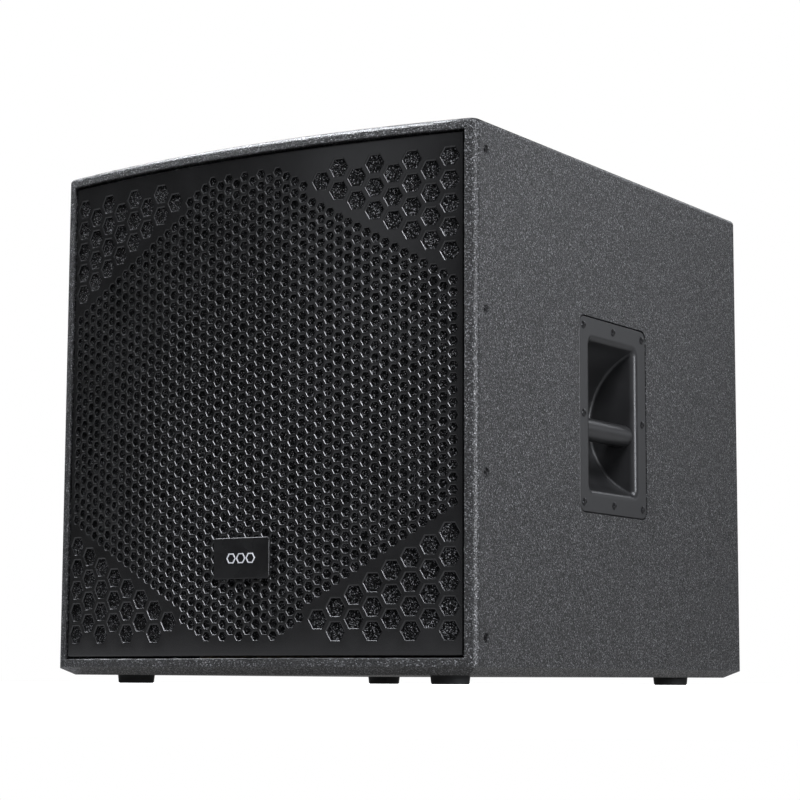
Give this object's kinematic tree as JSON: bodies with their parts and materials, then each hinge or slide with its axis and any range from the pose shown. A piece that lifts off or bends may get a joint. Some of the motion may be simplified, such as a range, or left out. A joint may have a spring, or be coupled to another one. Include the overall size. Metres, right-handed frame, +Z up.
{
  "type": "subwoofer cabinet",
  "caption": "Free-standing black bass-reflex subwoofer cabinet with a bowed hexagon-perforated steel grille, recessed side bar handles, rubber feet and a complete low-frequency driver inside.",
  "frame": {"origin": "on the floor, under the centre of the cabinet's bounding box", "axes": "+Z up; the grille faces -Y; +X is the right-hand side seen from the front"},
  "size_m": [0.5496, 0.6493, 0.571],
  "materials": {
    "textured_coating": "plywood with a black pebbled polyurea coating",
    "raw_plywood": "birch plywood painted matt black on the baffle side",
    "wadding": "polyester felt",
    "grille_steel": "satin black powder coat",
    "acoustic_foam": "open-cell black foam",
    "black_fasteners": "black oxide",
    "zinc_steel": "zinc plated",
    "bright_screws": "bright black nickel",
    "badge_black": "smooth satin",
    "badge_white": "white inlay",
    "handle_plastic": "moulded satin black",
    "gasket_foam": "closed-cell",
    "foot_rubber": "moulded rubber",
    "pole_cup_metal": "black powder coat",
    "dish_plastic": "fine moulded grain",
    "socket_plastic": "glass-filled nylon",
    "contact_metal": "tinned brass",
    "board": "glass-epoxy laminate",
    "standoff_metal": "plain",
    "copper_wire": "enamelled copper",
    "capacitor_film": "wrapped film",
    "cable_jacket": "flexible sleeve",
    "cast_basket": "black powder coat on a casting",
    "motor_steel": "black phosphate",
    "ferrite": "ceramic ferrite",
    "treated_cloth": "doped cloth",
    "spider_cloth": "impregnated cloth",
    "cone_paper": "coated paper pulp",
    "former_film": "polyimide film",
    "tinsel": "braided tinsel"
  },
  "bodies": {
    "cabinet": {"badge_emblem": "badge_white", "badge_plate": "badge_black", "board_screws": "zinc_steel", "board_standoffs": "standoff_metal", "bottom_panel": "textured_coating", "driver_basket": "cast_basket", "driver_bolts": "black_fasteners", "driver_cable": "cable_jacket", "driver_front_plate": "motor_steel", "driver_gasket": "gasket_foam", "driver_magnet": "ferrite", "driver_pole_piece": "motor_steel", "driver_spider": "spider_cloth", "driver_surround": "treated_cloth", "driver_tee_nuts": "zinc_steel", "driver_terminals": "socket_plastic", "filter_board": "board", "filter_capacitors": "capacitor_film", "filter_inductor": "copper_wire", "foot_screws": "zinc_steel", "foot_washers": "zinc_steel", "front_baffle": "raw_plywood", "front_left_foot": "foot_rubber", "front_right_foot": "foot_rubber", "grille": "grille_steel", "grille_foam": "acoustic_foam", "grille_nuts": "zinc_steel", "grille_screws": "black_fasteners", "handle_bar_bolts": "zinc_steel", "handle_gaskets": "gasket_foam", "handle_screws": "bright_screws", "input_cable": "cable_jacket", "input_dish": "dish_plastic", "input_dish_gasket": "gasket_foam", "input_dish_screws": "bright_screws", "input_sockets": "socket_plastic", "left_handle_bar": "handle_plastic", "left_handle_pan": "handle_plastic", "left_side_panel": "textured_coating", "motor_bolts": "zinc_steel", "pole_cup": "pole_cup_metal", "pole_cup_screws": "bright_screws", "port_boards": "raw_plywood", "rear_damping_lining": "wadding", "rear_left_foot": "foot_rubber", "rear_panel": "textured_coating", "rear_right_foot": "foot_rubber", "right_handle_bar": "handle_plastic", "right_handle_pan": "handle_plastic", "right_side_panel": "textured_coating", "side_damping_linings": "wadding", "socket_contacts": "contact_metal", "socket_screws": "zinc_steel", "tinsel_leads": "tinsel", "top_panel": "textured_coating", "window_brace": "raw_plywood"},
    "cone_assembly": {"driver_cone": "cone_paper", "dust_cap": "cone_paper", "voice_coil_former": "former_film", "voice_coil_winding": "copper_wire"}
  },
  "joints": [
    {"name": "cone_travel", "type": "slide", "parent": "cabinet", "child": "cone_assembly", "axis": [0, -1, 0], "range_m": [-0.012, 0.012], "stiffness_N_per_m": 8000, "deforming": ["driver_surround", "driver_spider", "tinsel_leads"]}
  ]
}
